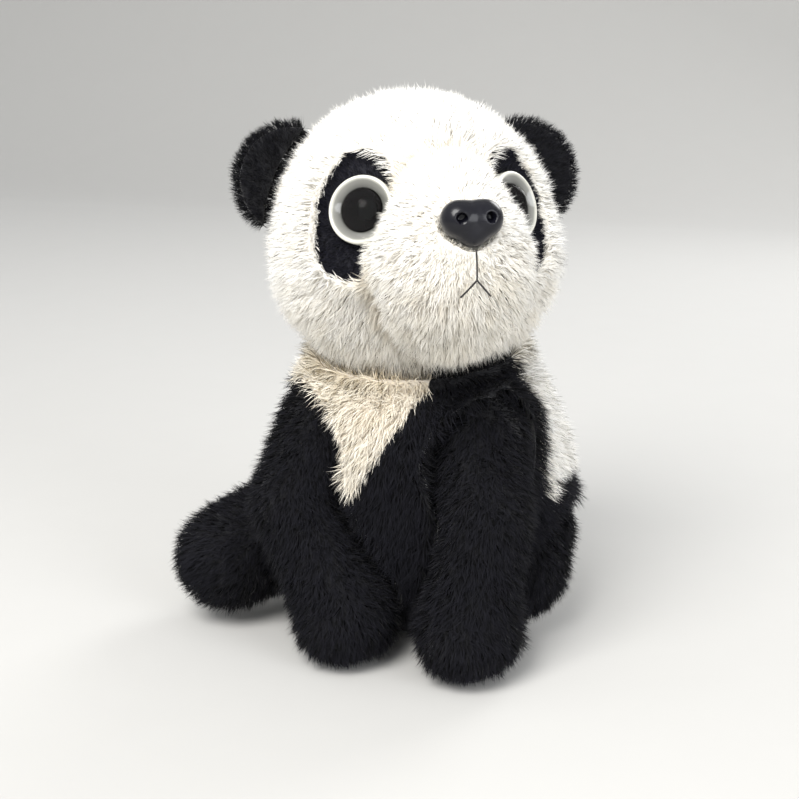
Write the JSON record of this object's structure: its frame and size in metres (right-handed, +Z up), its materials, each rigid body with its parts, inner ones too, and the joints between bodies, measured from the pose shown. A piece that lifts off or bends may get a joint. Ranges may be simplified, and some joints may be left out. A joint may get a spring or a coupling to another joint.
{
  "type": "plush panda",
  "caption": "Soft panda cub in long black and white pile, sitting, with domed eyes and a moulded nose; its head, legs, ears and tail flex at their seams.",
  "frame": {"origin": "centre of the flat seat that the panda sits on", "axes": "+Z up, the chest faces -Y, +X is the panda's own left; the head is turned towards +X"},
  "size_m": [0.1212, 0.1303, 0.1638],
  "materials": {
    "black_plush": "long pile",
    "white_plush": "long pile",
    "cream_plush": "long pile",
    "short_black_plush": "short pile",
    "white_cloth": "knitted backing",
    "pellet_bag": "woven bag of plastic pellets",
    "fibre_fill": "loose fibre",
    "white_thread": "spun thread",
    "black_thread": "spun thread",
    "ring_plastic": "glossy",
    "iris_print": "glossy",
    "pupil_print": "glossy",
    "clear_dome": "clear and glossy",
    "nose_plastic": "glossy",
    "washer_plastic": "moulded"
  },
  "bodies": {
    "torso": {"torso_yoke": "black_plush", "torso_back": "white_plush", "bib_panel": "cream_plush", "seat_panel": "black_plush", "torso_stuffing": "fibre_fill", "pellet_bag": "pellet_bag", "closing_stitches": "white_thread"},
    "neck": {"neck_gusset": "white_cloth"},
    "head": {"head_face": "white_plush", "head_back": "white_plush", "head_stuffing": "fibre_fill", "muzzle_cover": "white_plush", "muzzle_stuffing": "fibre_fill", "nose": "nose_plastic", "nose_washer": "washer_plastic", "mouth_thread": "black_thread", "eye_patch_left": "short_black_plush", "eye_ring_left": "ring_plastic", "eye_iris_left": "iris_print", "eye_pupil_left": "pupil_print", "eye_lens_left": "clear_dome", "eye_washer_left": "washer_plastic", "eye_patch_right": "short_black_plush", "eye_ring_right": "ring_plastic", "eye_iris_right": "iris_print", "eye_pupil_right": "pupil_print", "eye_lens_right": "clear_dome", "eye_washer_right": "washer_plastic"},
    "ear_left": {"ear_front_left": "black_plush", "ear_back_left": "black_plush"},
    "ear_right": {"ear_front_right": "black_plush", "ear_back_right": "black_plush"},
    "foreleg_left": {"foreleg_left_cover": "black_plush", "foreleg_left_stuffing": "fibre_fill"},
    "foreleg_right": {"foreleg_right_cover": "black_plush", "foreleg_right_stuffing": "fibre_fill"},
    "hind_leg_left": {"hind_leg_left_cover": "black_plush", "hind_leg_left_stuffing": "fibre_fill"},
    "hind_leg_right": {"hind_leg_right_cover": "black_plush", "hind_leg_right_stuffing": "fibre_fill"},
    "tail": {"tail_cover": "white_plush", "tail_stuffing": "fibre_fill"}
  },
  "joints": [
    {"name": "head_turn", "type": "hinge", "parent": "torso", "child": "neck", "pos_m": [0, -0.013, 0.122], "axis": [0, 0, 1], "range_deg": [-20, 20]},
    {"name": "head_nod", "type": "hinge", "parent": "neck", "child": "head", "pos_m": [0, -0.013, 0.122], "axis": [0.8434, 0.5373, 0], "range_deg": [-10, 12]},
    {"name": "ear_left_fold", "type": "hinge", "parent": "head", "child": "ear_left", "pos_m": [0.02882, 0.01189, 0.13984], "axis": [0.4647, 0.0931, -0.8805], "range_deg": [-18, 18], "stiffness_Nm_per_rad": 0.01},
    {"name": "ear_right_fold", "type": "hinge", "parent": "head", "child": "ear_right", "pos_m": [-0.03473, -0.0286, 0.13984], "axis": [0.2808, 0.3818, 0.8805], "range_deg": [-18, 18], "stiffness_Nm_per_rad": 0.01},
    {"name": "foreleg_left_swing", "type": "hinge", "parent": "torso", "child": "foreleg_left", "pos_m": [0.023, -0.022, 0.066], "axis": [1, 0, 0], "range_deg": [-28, 0]},
    {"name": "foreleg_right_swing", "type": "hinge", "parent": "torso", "child": "foreleg_right", "pos_m": [-0.023, -0.022, 0.066], "axis": [1, 0, 0], "range_deg": [-28, 0]},
    {"name": "hind_leg_left_spread", "type": "hinge", "parent": "torso", "child": "hind_leg_left", "pos_m": [0.029, 0.001, 0.033], "axis": [0, 0, 1], "range_deg": [0, 12]},
    {"name": "hind_leg_right_spread", "type": "hinge", "parent": "torso", "child": "hind_leg_right", "pos_m": [-0.029, 0.001, 0.033], "axis": [0, 0, 1], "range_deg": [-12, 0]},
    {"name": "tail_wag", "type": "hinge", "parent": "torso", "child": "tail", "pos_m": [0, 0.045, 0.028], "axis": [0, 0, 1], "range_deg": [-20, 20], "stiffness_Nm_per_rad": 0.01}
  ]
}
